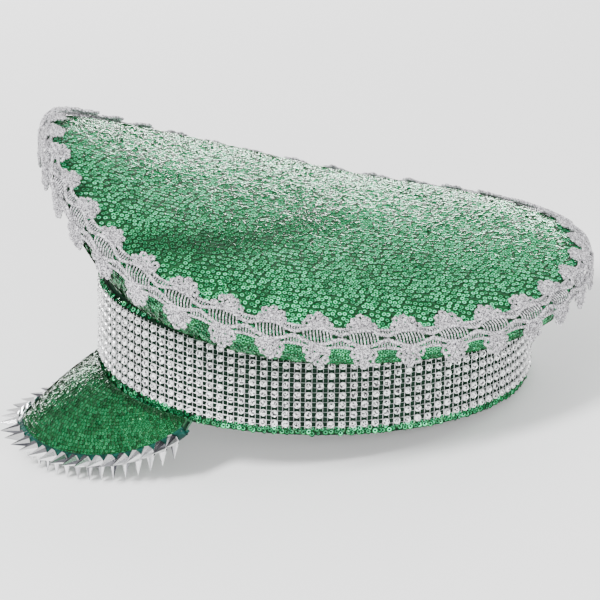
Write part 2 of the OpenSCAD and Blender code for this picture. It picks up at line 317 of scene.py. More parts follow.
def many(shape, places, axes_u, axes_v, axes_n):
    """Copies of one shape's points, one at each place and set of axes."""
    shape = np.asarray(shape, float)
    return (places[:, None, :]
            + shape[None, :, 0, None] * axes_u[:, None, :]
            + shape[None, :, 1, None] * axes_v[:, None, :]
            + shape[None, :, 2, None] * axes_n[:, None, :])


def lathe(profile, angles, width=1.0, height=1.0):
    """Points of a profile of radii and heights at each angle, one corner of it after another."""
    return [(width * r * math.cos(t), width * r * math.sin(t), height * h)
            for r, h in profile for t in angles]


def repeat_faces(faces, copies, points_each):
    """The faces of many copies of one shape, whose points follow one another."""
    faces = np.asarray(faces)
    shifts = (np.arange(copies) * points_each)[:, None, None]
    return (faces[None] + shifts).reshape(-1, faces.shape[1])


def ring_faces(rows, columns):
    """Faces of a grid that closes on itself both ways."""
    return grid_faces(rows, columns, closed_rows=True, closed_columns=True)


def strip_faces(columns, section):
    """Faces of a closed section swept along an open run, with both ends closed."""
    last = (columns - 1) * section
    faces = list(grid_faces(columns, section, closed_columns=True))
    return faces + [list(range(section)), [last + j for j in range(section)][::-1]]


def tube(batch, path, radius, normal, sides=6, closed=False, flatten=1.0):
    """Sweeps a round or flattened section along a path; normal is one vector, or one per point."""
    path = np.asarray(path, float)
    if closed:
        run = np.roll(path, -1, 0) - np.roll(path, 1, 0)
    else:
        run = np.gradient(path, axis=0)
    run = unit(run)
    side = unit(np.cross(run, normal))
    up = unit(np.cross(side, run))
    q = circle(sides)
    radius = np.broadcast_to(radius, len(path))[:, None, None]
    wide = np.cos(q)[None, :, None] * side[:, None, :]
    tall = flatten * np.sin(q)[None, :, None] * up[:, None, :]
    points = path[:, None, :] + radius * (wide + tall)
    faces = list(grid_faces(len(path), sides, closed_rows=closed, closed_columns=True))
    if not closed:
        last = (len(path) - 1) * sides
        faces += [list(range(sides))[::-1], [last + i for i in range(sides)]]
    batch.add(points, faces)


# --- Materials ---
SHADER_SOCKETS = {"metallic": "Metallic", "specular": "Specular IOR Level",
                  "roughness": "Roughness", "sheen": "Sheen Weight"}


def new_material(name, **settings):
    """A material with its node tree and its one surface shader, which gets the settings."""
    material = bpy.data.materials.new(name)
    material.use_nodes = True
    tree = material.node_tree
    shader = tree.nodes["Principled BSDF"]
    for key, value in settings.items():
        shader.inputs[SHADER_SOCKETS[key]].default_value = value
    return material, tree, shader


def noise_node(tree, scale, detail=3.0, roughness=0.6):
    """Noise in object space, at a scale in features per metre."""
    coords = tree.nodes.new("ShaderNodeTexCoord")
    noise = tree.nodes.new("ShaderNodeTexNoise")
    noise.inputs["Scale"].default_value = scale
    noise.inputs["Detail"].default_value = detail
    noise.inputs["Roughness"].default_value = roughness
    tree.links.new(coords.outputs["Object"], noise.inputs["Vector"])
    return noise.outputs["Fac"]


def ramp_node(tree, source, stops):
    """Colours spread over a source that runs from 0 to 1."""
    ramp = tree.nodes.new("ShaderNodeValToRGB")
    while len(ramp.color_ramp.elements) < len(stops):
        ramp.color_ramp.elements.new(0.5)
    for element, (place, colour) in zip(ramp.color_ramp.elements, stops):
        element.position = place
        element.color = (*colour, 1.0)
    tree.links.new(source, ramp.inputs["Fac"])
    return ramp.outputs["Color"]


def dress(tree, shader, colour, relief, strength, distance):
    """Gives a shader its colour and a fine relief, with the relief's height in metres."""
    tree.links.new(colour, shader.inputs["Base Color"])
    bump = tree.nodes.new("ShaderNodeBump")
    bump.inputs["Strength"].default_value = strength
    bump.inputs["Distance"].default_value = distance
    tree.links.new(relief, bump.inputs["Height"])
    tree.links.new(bump.outputs["Normal"], shader.inputs["Normal"])


def attribute_value(tree, name):
    """The socket of a value that is stored on the mesh's points."""
    node = tree.nodes.new("ShaderNodeAttribute")
    node.attribute_name = name
    return node.outputs["Fac"]


def mix_node(tree, factor, first, second, blend="MIX"):
    """Mixes two colours; each input is a socket or a colour."""
    mix = tree.nodes.new("ShaderNodeMix")
    mix.data_type = "RGBA"
    mix.blend_type = blend
    if isinstance(factor, (int, float)):
        mix.inputs["Factor"].default_value = factor
    else:
        tree.links.new(factor, mix.inputs["Factor"])
    colour_a, colour_b, colour_out = mix.inputs[6], mix.inputs[7], mix.outputs[2]
    for socket, value in ((colour_a, first), (colour_b, second)):
        if isinstance(value, tuple):
            socket.default_value = (*value, 1.0)
        else:
            tree.links.new(value, socket)
    return colour_out


def sequin_material(name, deep, middle, pale, roughness):
    """Cupped sequins: a painted highlight as a pale ring round the hole, painted shade at the deep edge, and
    a random tone of their own times painted light and shade.
    """
    material, tree, shader = new_material(name, metallic=0.45, specular=0.25, roughness=roughness)
    # Painted highlight on the pale ring, painted shade at the deep edge
    from_hole_to_edge = [(0.0, deep), (0.34, middle), (0.42, pale),
                         (0.62, pale), (0.74, middle), (1.0, deep)]
    # Painted light and shade over each sequin's random tone, from dark to full colour
    painted_dark_to_light = [(0.0, (0.08, 0.14, 0.1)), (0.3, (0.35, 0.5, 0.4)),
                      (0.75, (0.9, 0.95, 0.92)), (1.0, (1.0, 1.0, 1.0))]
    ring = ramp_node(tree, attribute_value(tree, "ring"), from_hole_to_edge)
    tint_and_painted_light = ramp_node(tree, attribute_value(tree, "tint_and_painted_light"), painted_dark_to_light)
    colour = mix_node(tree, 1.0, ring, tint_and_painted_light, "MULTIPLY")
    dress(tree, shader, colour, noise_node(tree, 900), 0.15, 0.0002)
    return material


# Threads in a metre of wave texture at scale 1: about 3 waves, each of two threads
THREADS_AT_SCALE_1 = 6.28


def cloth_material(name, dark, light, threads=900, sheen=0.3, roughness=0.75, strength=0.5):
    """Woven cloth: two crossed wave patterns for its threads, and uneven colour."""
    material, tree, shader = new_material(name, specular=0.15, roughness=roughness, sheen=sheen)
    coords = tree.nodes.new("ShaderNodeTexCoord")
    weave = []
    for direction in ("X", "Z"):
        wave = tree.nodes.new("ShaderNodeTexWave")
        wave.bands_direction = direction
        wave.inputs["Scale"].default_value = threads / THREADS_AT_SCALE_1
        wave.inputs["Distortion"].default_value = 0.6
        tree.links.new(coords.outputs["Object"], wave.inputs["Vector"])
        weave.append(wave)
    crossed = tree.nodes.new("ShaderNodeMath")
    crossed.operation = "MULTIPLY"
    tree.links.new(weave[0].outputs["Fac"], crossed.inputs[0])
    tree.links.new(weave[1].outputs["Fac"], crossed.inputs[1])
    base = ramp_node(tree, noise_node(tree, 120), [(0.3, dark), (0.7, light)])
    colour = mix_node(tree, crossed.outputs[0], base, light)
    dress(tree, shader, colour, crossed.outputs[0], strength, 0.0003)
    return material


def yarn_material(name, dark, light):
    """Soft fuzzy yarn, with painted shade in the fine gaps between its fibres, and darker patches."""
    material, tree, shader = new_material(name, specular=0.2, roughness=0.7, sheen=0.15)
    fuzz = noise_node(tree, 1500, 4.0, 0.7)
    patches = noise_node(tree, 260)
    # Fibre texture, with painted shade in the gaps between the fibres
    base = ramp_node(tree, fuzz, [(0.43, dark), (0.57, light)])
    tone = ramp_node(tree, patches, [(0.35, (0.6, 0.6, 0.6)), (0.6, (1.0, 1.0, 1.0))])
    colour = mix_node(tree, 1.0, base, tone, "MULTIPLY")
    dress(tree, shader, colour, fuzz, 0.9, 0.0006)
    return material


def metal_material(name, dark, light, roughness, metallic=1.0):
    """Plated plastic or metal with faint mottling."""
    material, tree, shader = new_material(name, metallic=metallic, roughness=roughness)
    noise = noise_node(tree, 600)
    base = ramp_node(tree, noise, [(0.3, dark), (0.7, light)])
    dress(tree, shader, base, noise, 0.1, 0.0002)
    return material


def facet_material(name, stops, metallic, roughness):
    """Facets that each have a painted reflection of their own, from dark to white, for what cut stones and
    faceted chrome reflect.
    """
    material, tree, shader = new_material(name, metallic=metallic, roughness=roughness)
    shade = ramp_node(tree, attribute_value(tree, "shade"), stops)
    noise = noise_node(tree, 1200)
    colour = mix_node(tree, 0.2, shade, noise, "MULTIPLY")
    dress(tree, shader, colour, noise, 0.1, 0.0002)
    return material


# The pale ring colours are painted highlights, and the deep colours painted shade at the edges
SEQUIN = sequin_material("sequin_green", deep=(0.001, 0.06, 0.012), middle=(0.002, 0.3, 0.06),
                         pale=(0.19, 1.0, 0.58), roughness=0.24)
SEQUIN_SMALL = sequin_material("sequin_dark", deep=(0.0006, 0.05, 0.009), middle=(0.001, 0.1, 0.018),
                               pale=(0.04, 0.34, 0.14), roughness=0.22)
BACKING = cloth_material("sequin_backing", (0.002, 0.03, 0.009), (0.006, 0.08, 0.025),
                         threads=1400, sheen=0.1, roughness=0.6)
BACKING_DARK = cloth_material("band_backing", (0.001, 0.008, 0.004), (0.003, 0.022, 0.01),
                              threads=1400, sheen=0.0, roughness=0.8)
LINING = cloth_material("satin_lining", (0.008, 0.07, 0.03), (0.018, 0.13, 0.055),
                        threads=2200, sheen=0.2, roughness=0.42, strength=0.25)
RIBBON = cloth_material("sweatband_ribbon", (0.2, 0.2, 0.21), (0.34, 0.34, 0.35),
                        threads=1100, sheen=0.2, roughness=0.8)
YARN = yarn_material("lace_yarn", (0.06, 0.057, 0.068), (0.86, 0.84, 0.88))
BRAID = cloth_material("edge_braid", (0.001, 0.012, 0.01), (0.004, 0.06, 0.045),
                       threads=700, sheen=0.0, roughness=0.22, strength=0.6)
SILVER = metal_material("net_silver", (0.85, 0.85, 0.86), (1.0, 1.0, 1.0), roughness=0.25, metallic=0.4)
# Painted reflections of the spikes' facets, from dark to white
CHROME_PAINTED_REFLECTIONS = [(0.0, (0.05, 0.05, 0.06)), (0.25, (0.25, 0.25, 0.27)),
                 (0.45, (0.85, 0.85, 0.87)), (1.0, (1.0, 1.0, 1.0))]
CHROME = facet_material("spike_chrome", CHROME_PAINTED_REFLECTIONS, metallic=0.9, roughness=0.14)
# Painted reflections of the stones' facets: about half dark, the rest white
STONE_PAINTED_REFLECTIONS = [(0.0, (0.004, 0.004, 0.006)), (0.5, (0.04, 0.04, 0.045)),
                (0.6, (0.9, 0.9, 0.92)), (1.0, (1.0, 1.0, 1.0))]
STONE = facet_material("net_stone", STONE_PAINTED_REFLECTIONS, metallic=0.0, roughness=0.3)
# The rails: a darker silver than the bezels, as painted shade
RAIL = metal_material("net_rail", (0.35, 0.35, 0.36), (0.8, 0.8, 0.82), roughness=0.3, metallic=0.8)
BOARD = cloth_material("stiff_board", (0.55, 0.54, 0.5), (0.72, 0.71, 0.67),
                       threads=500, sheen=0.0, roughness=0.85, strength=0.2)
WIRE = metal_material("hoop_wire", (0.2, 0.2, 0.21), (0.36, 0.36, 0.38), roughness=0.35)


# --- Sequins ---
SEQUIN_SIDES = 9
CROWN_SEQUIN_R, SIDE_SEQUIN_R, HEM_SEQUIN_R, VISOR_SEQUIN_R = 1.42, 1.5, 1.55, 1.25
BACKING_DROP = 0.7  # of the backing below the cap's surface, to make room (mm)
SEWING_JITTER = 0.45
# Gap between the rows of sequins, and pitch along a row (mm)
CROWN_ROW_GAP, CROWN_PITCH = 2.65, 2.45
SIDE_ROW_GAP, SIDE_PITCH = 2.5, 2.3
VISOR_ROW_GAP, VISOR_PITCH = 2.15, 2.05


def sequin_shape(radius):
    """Points, faces and ring values of one cupped sequin with a hole."""
    profile = [(0.3, 0.05), (0.66, 0.0), (1.0, 0.14)]
    points = lathe(profile, circle(SEQUIN_SIDES), radius, radius)
    ring = np.repeat([r for r, _ in profile], SEQUIN_SIDES)
    return np.array(points), grid_faces(len(profile), SEQUIN_SIDES, closed_columns=True), ring


def sequin_piece(name, places, normals, runs, radius, material, lean=8.0, wobble=5.0, painted_light=1.0):
    """Sequins that each lean along their row, so that they overlap like scales.

    Lean and wobble are in degrees. Each sequin gets a random tone of its own, times the painted light and
    shade that it is given.
    """
    shape, faces, ring = sequin_shape(radius)
    n = unit(normals)
    u = square_to(runs, n)
    v = np.cross(n, u)
    lean_u = np.radians(lean + wobble * RNG.standard_normal(len(places)))[:, None]
    lean_v = np.radians(wobble * RNG.standard_normal(len(places)))[:, None]
    n2 = unit(n - np.sin(lean_u) * u + np.sin(lean_v) * v)
    u2 = square_to(u, n2)
    v2 = np.cross(n2, u2)
    points = many(shape, places, u2, v2, n2)
    # Each sequin's random tone, times the painted light and shade
    tint_and_painted_light = np.clip(painted_light * (0.1 + 0.9 * RNG.random(len(places))), 0, 1)
    values = {"ring": np.tile(ring, len(places)), "tint_and_painted_light": np.repeat(tint_and_painted_light, len(shape))}
    all_faces = repeat_faces(faces, len(places), len(shape))
    return make_mesh(name, points, all_faces, material, True, values)


def row_stagger(row):
    """Half a pitch for rows whose place in tenths of a millimetre is odd, so rows don't line up."""
    return 0.5 * (int(round(row * 10)) % 2)


def row_places(surface, rows, pitch, start, stop, samples=900):
    """Evenly spaced places along rows of a surface, which surface(t, row) gives.

    Rows that are shorter than one pitch are skipped.
    """
    found = []
    for row in rows:
        t = np.linspace(start, stop, samples)
        points = surface(t, row)
        steps = running_length(points)
        count = int(steps[-1] / pitch)
        if count < 1:
            continue
        marks = (np.arange(count) + row_stagger(row) + 0.15 * RNG.standard_normal(count)) * pitch
        found.append(np.stack([np.interp(marks, steps, t), np.full(count, row)], axis=1))
    return np.concatenate(found)


def surface_frames(surface, t, r, dt, dr):
    """Points, normals and run directions of a surface at many places."""
    p = surface(t, r)
    run = surface(t + dt, r) - surface(t - dt, r)
    across = surface(t, r + dr) - surface(t, r - dr)
    return p, unit(np.cross(run, across)), unit(run)


# Line of a soft fold across the crown from its front left edge, and its width (mm). The fold is not in the
# crown's shape: the sequins along this line get painted shade.
PAINTED_FOLD_LINE = np.array([(85.0, -87.0), (74.0, -60.0), (60.0, -35.0), (39.0, -15.0), (10.0, 6.0)])
FOLD_WIDTH = 14
FOLD_DEPTH = 0.78  # share of the brightness that the painted shade on the fold takes away


def painted_crown_light(x, y):
    """Painted light and shade on the crown's sequins: about 1, with soft patches of painted light and shade,
    and painted shade on the fold.
    """
    nearest = np.full(len(x), np.inf)
    for start, end in zip(PAINTED_FOLD_LINE[:-1], PAINTED_FOLD_LINE[1:]):
        run = end - start
        t = np.clip(((x - start[0]) * run[0] + (y - start[1]) * run[1]) / (run @ run), 0, 1)
        beside = np.hypot(x - start[0] - t * run[0], y - start[1] - t * run[1])
        nearest = np.minimum(nearest, beside)
    # Soft patches of painted light and shade
    patches = 0.12 * np.sin(x / 17 + 1.3 * np.sin(y / 29)) + 0.1 * np.sin(y / 13 + x / 31)
    return 0.98 - FOLD_DEPTH * np.exp(-(nearest / FOLD_WIDTH) ** 2) + patches


def crown_sewing():
    """Plan positions of the crown's sequins, in wavy and slightly uneven rows."""
    x, y = [], []
    for i, level in enumerate(np.arange(-140, 140, CROWN_ROW_GAP)):
        along_row = np.arange(-135, 135, CROWN_PITCH) + CROWN_PITCH * (0.5 * (i % 2) + 0.2 * RNG.random())
        short_wave = 1.5 * np.sin(along_row / 7 + 2.2 * np.sin(level / 19))
        wave = short_wave + 0.9 * np.sin(along_row / 17 + level / 9)
        x.append(level + wave + SEWING_JITTER * RNG.standard_normal(len(along_row)))
        y.append(along_row + SEWING_JITTER * RNG.standard_normal(len(along_row)))
    x, y = np.concatenate(x), np.concatenate(y)
    inside_rim = np.hypot(x, y) < 0.985 * rim_r(np.arctan2(x, -y))
    return x[inside_rim], y[inside_rim]


def build_crown():
    """The crown's cloth and its sequins, sewn in wavy rows."""
    rings, turns = 28, 144
    share = np.concatenate([[0.001], np.linspace(0.05, 0.995, rings - 1)])
    a = circle(turns)
    upper = np.stack([crown_point(p, a, BACKING_DROP) for p in share])
    lower = np.stack([crown_point(p, a, CLOTH) for p in share[::-1]])
    cloth = make_mesh("crown_cloth", np.concatenate([upper, lower]), ring_faces(2 * rings, turns), BACKING)
    x, y = crown_sewing()
    step = 0.5
    p = crown_at(x, y, 0.25)
    run = crown_at(x, y + step) - crown_at(x, y - step)
    across = crown_at(x + step, y) - crown_at(x - step, y)
    normal = unit(np.cross(across, run))
    # Painted shade on the fold, with painted patches of light and shade
    painted_light = painted_crown_light(x, y)
    sequins = [sequin_piece(name, p[side], normal[side], run[side], CROWN_SEQUIN_R, SEQUIN,
                            painted_light=painted_light[side])
               for name, side in (("crown_sequins_left", x >= 0), ("crown_sequins_right", x < 0))]
    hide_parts("crown_top")


def build_quarter_cloths():
    """The backing cloth of the four side panels, by the name of its CAD node."""
    names = ("quarter_front_left", "quarter_rear_left", "quarter_rear_right", "quarter_front_right")
    columns, rows = 48, 12
    u = np.linspace(0, 1, rows)[None, :]
    cloths = {}
    for i, name in enumerate(names):
        a = np.radians(90 * i + np.linspace(0.15, 89.85, columns))[:, None]
        outer = panel_point(a, u, BACKING_DROP)
        inner = panel_point(a, u, CLOTH)[:, ::-1]
        section = np.concatenate([outer, inner], axis=1)
        cloths[name] = make_mesh(name + "_cloth", section, strip_faces(columns, 2 * rows), BACKING)
        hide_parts(name)
    return cloths


def build_quarters():
    """Four side panels with sequins in rows that follow the rim."""
    table_a = np.linspace(-math.pi, math.pi, 361)
    table_length = panel_length(table_a)

    def length_at(a):
        return np.interp((a + math.pi) % (2 * math.pi) - math.pi, table_a, table_length)

    def surface(a, down):
        """A place about this far down from the rim, which stays at the band once it gets there."""
        return panel_point(a, np.clip(1 - down / length_at(a), 0, 1), 0.2)

    cloths = build_quarter_cloths()
    rows = np.arange(2.2, 90, SIDE_ROW_GAP)
    places = row_places(surface, rows, SIDE_PITCH, -math.pi, math.pi, 1400)
    a, down = places[:, 0], places[:, 1]
    above_band = down < length_at(a) - 1.0
    a, down = a[above_band], down[above_band]
    p, normal, run = surface_frames(surface, a, down, 0.01, 0.6)
    middle_of_cap = [0, 0, 60]
    facing = (normal * (p - middle_of_cap)).sum(-1)
    normal = np.where((facing < 0)[:, None], -normal, normal)
    for name, low in (("side_sequins_left", 0.0), ("side_sequins_right", -math.pi)):
        side = (a >= low) & (a < low + math.pi)
        # The side panels' sequins are darkened as painted shade
        piece = sequin_piece(name, p[side], normal[side], run[side], SIDE_SEQUIN_R, SEQUIN, painted_light=0.4)


# --- Band ---
def ring_wall(inner, outer, bottom, top, turns=180, rows=8):
    """Points and faces of an oval wall round the band."""
    a = circle(turns)
    z = np.linspace(bottom, top, rows)
    points = np.stack([oval(a, outer, h) for h in z] + [oval(a, inner, h) for h in z[::-1]])
    return points, ring_faces(2 * rows, turns)


HEM_COUNT = 252  # sequins in each row round the band
HEM_ROWS = (1.5, 3.2, 5.0, 6.8, 8.4)
TOP_ROW = COVER_TOP - 0.4


def build_band():
    """Sequin cloth of the band, with rows of sequins below the net and one above."""
    points, faces = ring_wall(COVER_IN, COVER_OUT - 0.4, 0.0, COVER_TOP - 0.6)
    cover = make_mesh("band_cloth", points, faces, BACKING_DARK)
    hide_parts("band_cover")
    sewn = []
    for i, z in enumerate((*HEM_ROWS, TOP_ROW)):
        a = (np.arange(HEM_COUNT) + 0.5 * i + 0.2 * RNG.standard_normal(HEM_COUNT)) * 2 * math.pi / HEM_COUNT
        sewn.append(np.stack([a, np.full(HEM_COUNT, z) + 0.25 * RNG.standard_normal(HEM_COUNT)], axis=1))
    a, z = np.concatenate(sewn).T
    upper = z > BAND_HEIGHT / 2
    seen = upper | (z < net_bottom(a) + 0.6)
    a, z, upper = a[seen], z[seen], upper[seen]
    p = oval(a, np.where(upper, COVER_OUT + 0.6, COVER_OUT - 0.1), z)
    run = oval(a + 0.01, COVER_OUT) - oval(a - 0.01, COVER_OUT)
    normal = unit(stack(p[:, 0] / HEAD_HALF_WIDTH**2, p[:, 1] / HEAD_HALF_LENGTH**2, 0.0))
    upward = 1.6  # the top row faces more up than out
    normal = unit(normal + np.expand_dims(upper * upward, -1) * UP)
    # Painted glints and shade: about a fifth of the hem's sequins are painted light, the rest painted dark
    painted_glint_and_shade = 0.25 + 0.9 * (RNG.random(len(p)) < 0.22)
    hem = sequin_piece("hem_sequins", p, normal, run, HEM_SEQUIN_R, SEQUIN, 10.0, 14.0, painted_glint_and_shade)


# --- Stud net ---
NET_COLUMNS = 114
NET_ROWS = 8
NET_ROW_GAP = NET_HEIGHT / NET_ROWS
BEZEL_PROFILE = ((1.5, -0.3), (1.75, 0.1), (1.75, 0.75), (1.55, 1.05), (1.25, 0.8))  # radius, height
GIRDLE_R, GIRDLE_HEIGHT = 1.34, 0.85
TABLE_R, TABLE_HEIGHT, TABLE_TURN = 0.62, 1.45, 0.39
STONE_FACETS = 8
STONE_TOP = 1.5
RAIL_SIDE = 1.5  # of each upright rail from the middle of its column
BAR_SHARE = 0.24  # of each bar from the middle of its row, in row gaps


def even_oval(count, offset):
    """Angles that are evenly spaced round the band."""
    a = np.linspace(0, 2 * math.pi, 2001)
    length = running_length(oval(a, offset))
    return np.interp(np.arange(count) * length[-1] / count, length, a)


def net_bottom(a):
    """Height of the stud net's lower edge, which rises over the visor."""
    turn = np.abs(np.arctan2(np.sin(a), np.cos(a)))
    return HEM_REVEAL + NET_FRONT_LIFT * np.cos(math.pi / 2 * np.minimum(1, turn / NET_LIFT_SPREAD)) ** 1.2


def bezel_shape(sides=12):
    """Points and faces of the round setting of a stone."""
    return lathe(BEZEL_PROFILE, circle(sides)), grid_faces(len(BEZEL_PROFILE), sides, closed_columns=True)


def stone_shape():
    """Corners of a cut stone's triangles, and which of its painted reflections each triangle has."""
    turn = circle(STONE_FACETS)
    girdle = lathe([(GIRDLE_R, GIRDLE_HEIGHT)], turn)
    table = lathe([(TABLE_R, TABLE_HEIGHT)], turn + TABLE_TURN)
    corners, shade_pattern = [], []
    for i in range(STONE_FACETS):
        j = (i + 1) % STONE_FACETS
        corners += [girdle[i], girdle[j], table[i]]
        corners += [girdle[j], table[j], table[i]]
        corners += [table[i], table[j], (0.0, 0.0, STONE_TOP)]
        shade_pattern += [2 * i, 2 * i + 1, 2 * STONE_FACETS + i // 3]
    return corners, shade_pattern


def add_rails(rails, columns, row_z):
    """Two upright rails at each column of stones, and two thin bars across each row."""
    levels = np.linspace(0, NET_HEIGHT, 2 * NET_ROWS + 1)
    step = 1e-3
    for side in (-RAIL_SIDE, RAIL_SIDE):
        for column in columns:
            mm_a_step = np.linalg.norm(oval(column + step / 2, NET_IN) - oval(column - step / 2, NET_IN))
            shifted = np.full(len(levels), column + side / mm_a_step * step)
            path = oval(shifted, NET_IN + 0.45, net_bottom(column) + levels)
            tube(rails, path, 0.15, outward(column), 4)
    ring_a = even_oval(2 * NET_COLUMNS, NET_IN)
    for level in (*(row_z - BAR_SHARE * NET_ROW_GAP), *(row_z + BAR_SHARE * NET_ROW_GAP)):
        path = oval(ring_a, NET_IN + 0.4, net_bottom(ring_a) + level)
        tube(rails, path, 0.16, UP, 4, closed=True)


def build_net():
    """The stud net: bezels and faceted stones on upright rails, with thin bars across."""
    metal, rails, stones = Batch(), Batch(), Batch()
    columns = even_oval(NET_COLUMNS, NET_IN + 1)
    row_z = NET_ROW_GAP * (np.arange(NET_ROWS) + 0.5)
    a, z = [v.ravel() for v in np.meshgrid(columns, row_z)]
    base = oval(a, NET_IN + 0.5, net_bottom(a) + z)
    u = unit(oval(a + 0.01, NET_IN) - oval(a - 0.01, NET_IN))
    n = np.cross(u, UP)
    tip = np.radians(4.0) * RNG.standard_normal((2, len(a), 1))
    n_t = unit(n + tip[0] * u + tip[1] * UP)
    u_t = square_to(u, n_t)
    v_t = np.cross(n_t, u_t)
    bezel, bezel_faces = bezel_shape()
    metal.add(many(bezel, base, u_t, v_t, n_t), repeat_faces(bezel_faces, len(a), len(bezel)))
    corners, shade_pattern = stone_shape()
    triangles = np.arange(len(corners)).reshape(-1, 3)
    # A random painted reflection for each facet
    painted_reflections = RNG.random((len(a), 3 * STONE_FACETS))[:, shade_pattern]
    stones.add(many(corners, base, u_t, v_t, n_t), repeat_faces(triangles, len(a), len(corners)),
               shade=np.repeat(painted_reflections, 3, axis=1).ravel())
    add_rails(rails, columns, row_z)
    net = rails.make("stud_net_rails", RAIL, smooth=False)
    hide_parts("stud_net")
    bezels = metal.make("stud_net_bezels", SILVER, smooth=False)
    gems = stones.make("stud_net_stones", STONE, smooth=False)


# --- Lace ---
LACE_REPEATS = 37
# Radii of the cords beside the eyes and at the edges, of the bars, and of the flowers' yarn (mm)
EYE_CORD_R, EDGE_CORD_R, EYE_BAR_R, EDGE_BAR_R, PETAL_YARN_R = 0.85, 0.7, 0.4, 0.36, 0.82
EYE_BARS, EYE_BAR_GAP = 9, 1.6
EDGE_BARS, EDGE_BAR_GAP = 7, 1.3


def lace_map():
    """A function that places points on the lace, and the lace's pitch.

    The function takes a distance along the rim in repeats, and one across the
    lace and a lift off it in mm. It gives points and normals. Across is 0 in
    the middle of the eyes, negative over the crown and positive where it hangs.
    """
    a_table = np.linspace(0, 2 * math.pi, 1441)
    length = running_length(crown_point(1.0, a_table))
    pitch = length[-1] / LACE_REPEATS
    stand_off, turn_up, turn_down, probe = 2.7, -5.0, 3.0, 1.2

    def crown_leg(a, w):
        stand_up = 0.7 + 2.3 * np.maximum(np.cos(a), 0) ** 2
        return crown_point(1 + (w + 3.4) / rim_r(a), a, -stand_up)

    def hanging_leg(a, w):
        return crown_point(1.0, a) + stand_off * outward(a) + stack(0.0, 0.0, 0.4 - w)

    def folded(a, w):
        """The path over the rim, with a rounded turn between its two legs."""
        t = np.clip((w - turn_up) / (turn_down - turn_up), 0, 1)[..., None]
        ends = crown_leg(a, np.minimum(w, turn_up)), hanging_leg(a, np.maximum(w, turn_down))
        corner = crown_point(1.0, a) + stand_off * outward(a) + [0, 0, 1.5]
        turn = (1 - t) ** 2 * ends[0] + 2 * t * (1 - t) * corner + t**2 * ends[1]
        over_crown = np.expand_dims(w < turn_up, -1)
        hanging = np.expand_dims(w > turn_down, -1)
        return np.where(over_crown, ends[0], np.where(hanging, ends[1], turn))

    def place(repeat, across, lift):
        inputs = (np.asarray(v, float) for v in (repeat, across, lift))
        repeat, across, lift = np.broadcast_arrays(*inputs)
        a = np.interp((repeat % LACE_REPEATS) * pitch, length, a_table)
        over = folded(a, across + probe) - folded(a, across - probe)
        normal = unit(np.cross(over, along(a)))
        return folded(a, across) + np.expand_dims(lift, -1) * normal, normal

    return place, pitch


def eye_half_height(repeat):
    """Half the height of the lace's eyes along a repeat, to the middle of the cord."""
    return 0.9 + 2.9 * np.sin(math.pi * repeat) ** 1.4


def add_eyes(cords, place, pitch):
    """Two cords that part round each eye, an outer cord each side, and bars across."""
    fine = np.linspace(0, LACE_REPEATS, LACE_REPEATS * 56, endpoint=False)
    knot = 1 + 0.2 * np.sin(2 * math.pi * 14 * fine)
    half = eye_half_height(fine % 1.0)
    for side in (-1, 1):
        path, normal = place(fine, side * half, 1.3)
        tube(cords, path, EYE_CORD_R * knot, normal, 6, closed=True, flatten=0.8)
        path, normal = place(fine, side * (4.5 + 1.5 * np.sin(math.pi * fine) ** 2), 1.1)
        tube(cords, path, EDGE_CORD_R * knot, normal, 6, closed=True, flatten=0.8)
    eye_bars = np.arange(EYE_BARS) - (EYE_BARS - 1) / 2
    edge_bars = np.arange(EDGE_BARS) - EDGE_BARS // 2
    slant = np.array([-0.02, 0.0, 0.02])
    for repeat in range(LACE_REPEATS):
        for at in 0.5 + eye_bars * (EYE_BAR_GAP / pitch):
            tall = eye_half_height(at)
            path, normal = place(repeat + (at + slant), np.array([-tall, 0.0, tall]), 1.0)
            tube(cords, path, EYE_BAR_R, normal, 5)
        for side in (-1, 1):
            for i in edge_bars:
                at = np.full(2, repeat + i * EDGE_BAR_GAP / pitch)
                path, normal = place(at, side * np.array([1.0, 4.8]), 0.8)
                tube(cords, path, EDGE_BAR_R, normal, 5)


# Petals of a lace flower: place along it, place across the lace, and loop size (mm)
PETALS = ((0.0, 12.7, 1.35), (-3.6, 10.9, 1.45), (3.6, 10.9, 1.45), (-5.5, 7.5, 1.4), (5.5, 7.5, 1.4),
          (0.0, 9.9, 1.2), (-1.9, 7.9, 1.2), (1.9, 7.9, 1.2), (-3.6, 5.7, 1.1), (-1.2, 5.7, 1.1),
          (1.2, 5.7, 1.1), (3.6, 5.7, 1.1))


def add_flowers(flowers, place, pitch):
    """Looped yarn flowers beside every eye: shorter over the crown, narrower where they hang."""
    turns = 18
    q = circle(turns)
    for repeat in range(LACE_REPEATS):
        for side, stretch, spread in ((-1, 0.82, 1.0), (1, 1.0, 0.85)):
            for x, w, loop in PETALS:
                jitter = 0.3 * RNG.standard_normal(2)
                loop = loop * (1 + 0.1 * RNG.standard_normal())
                at = repeat + 0.5 + (spread * x + jitter[0] + loop * np.cos(q)) / pitch
                across = side * stretch * (w + jitter[1] + loop * np.sin(q))
                lift = 0.9 + 0.5 * RNG.random() + 0.25 * np.sin(q + 6 * RNG.random())
                path, normal = place(at, across, lift)
                knobs = 1 + 0.3 * np.sin(6 * q + 6 * RNG.random())
                tube(flowers, path, PETAL_YARN_R * knobs, normal, 6, closed=True, flatten=0.85)


def build_lace():
    """Gimp lace: a ladder of oval eyes, with looped flowers along both edges."""
    place, pitch = lace_map()
    cords, flowers = Batch(), Batch()
    add_eyes(cords, place, pitch)
    add_flowers(flowers, place, pitch)
    lace = cords.make("rim_lace_cords", YARN)
    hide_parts("rim_lace")
    petals = flowers.make("rim_lace_flowers", YARN)


